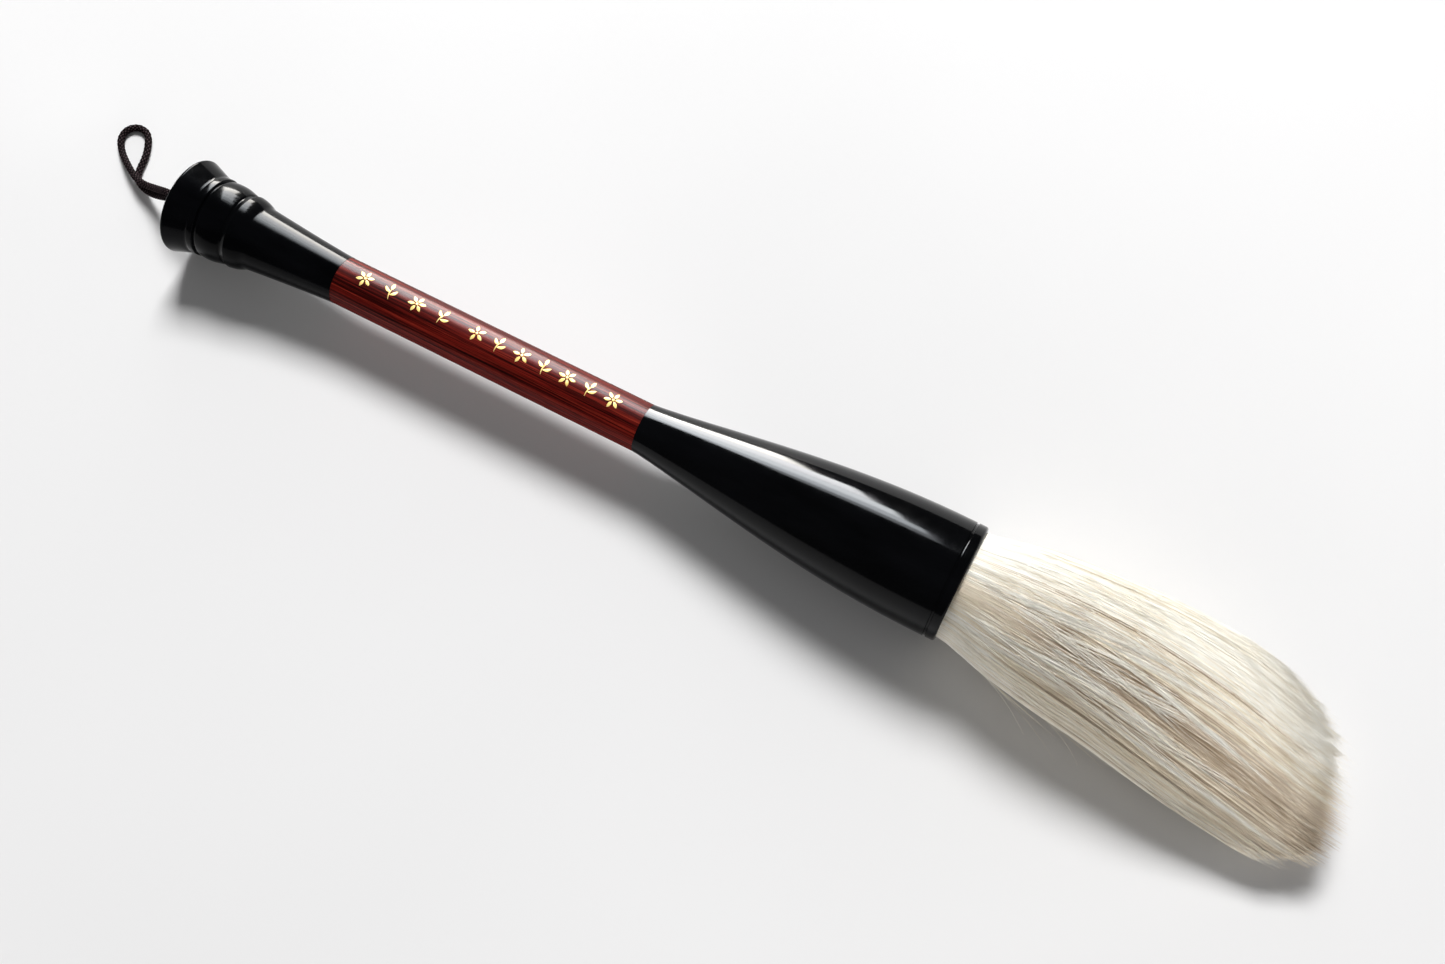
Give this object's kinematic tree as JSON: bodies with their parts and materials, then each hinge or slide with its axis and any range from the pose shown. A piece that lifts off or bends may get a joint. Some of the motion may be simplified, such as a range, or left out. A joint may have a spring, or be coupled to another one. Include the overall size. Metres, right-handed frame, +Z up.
{
  "type": "calligraphy brush",
  "caption": "Large Chinese ink brush lying on a table: flared black cap with hanging loop, rosewood shaft, bell-shaped black ferrule and a full white goat-hair tuft that bends at its root.",
  "frame": {"origin": "on the table, at the middle of the brush's length and width, without its cord", "axes": "+X along the brush from the cap to the hair's tip, +Z up from the table"},
  "size_m": [0.346, 0.045, 0.0305],
  "materials": {
    "black_horn": "turned and polished black horn or resin, glossy",
    "rosewood": "varnished rosewood with fine straight grain",
    "cord": "braided dark brown cord",
    "root_resin": "set brush-maker's resin",
    "thread": "waxed silk thread",
    "core_hair": "dry goat hair, soft",
    "cover_hair": "dry goat hair, soft"
  },
  "bodies": {
    "handle": {"cap": "black_horn", "loop_knot": "cord", "shaft": "rosewood", "ferrule": "black_horn", "root_resin": "root_resin", "root_binding": "thread", "hair_root": "core_hair"},
    "tuft": {"core_hair": "core_hair", "cover_hair": "cover_hair"},
    "loop": {"hanging_loop": "cord"}
  },
  "joints": [
    {"name": "tuft_bend", "type": "hinge", "parent": "handle", "child": "tuft", "pos_m": [0.06029, 0, 0.0146], "axis": [0, 1, 0], "range_deg": [-30, 30], "stiffness_Nm_per_rad": 0.4},
    {"name": "loop_swing", "type": "hinge", "parent": "handle", "child": "loop", "pos_m": [-0.1544, 0, 0.0124], "axis": [0, 0, 1], "range_deg": [-50, 50]}
  ]
}
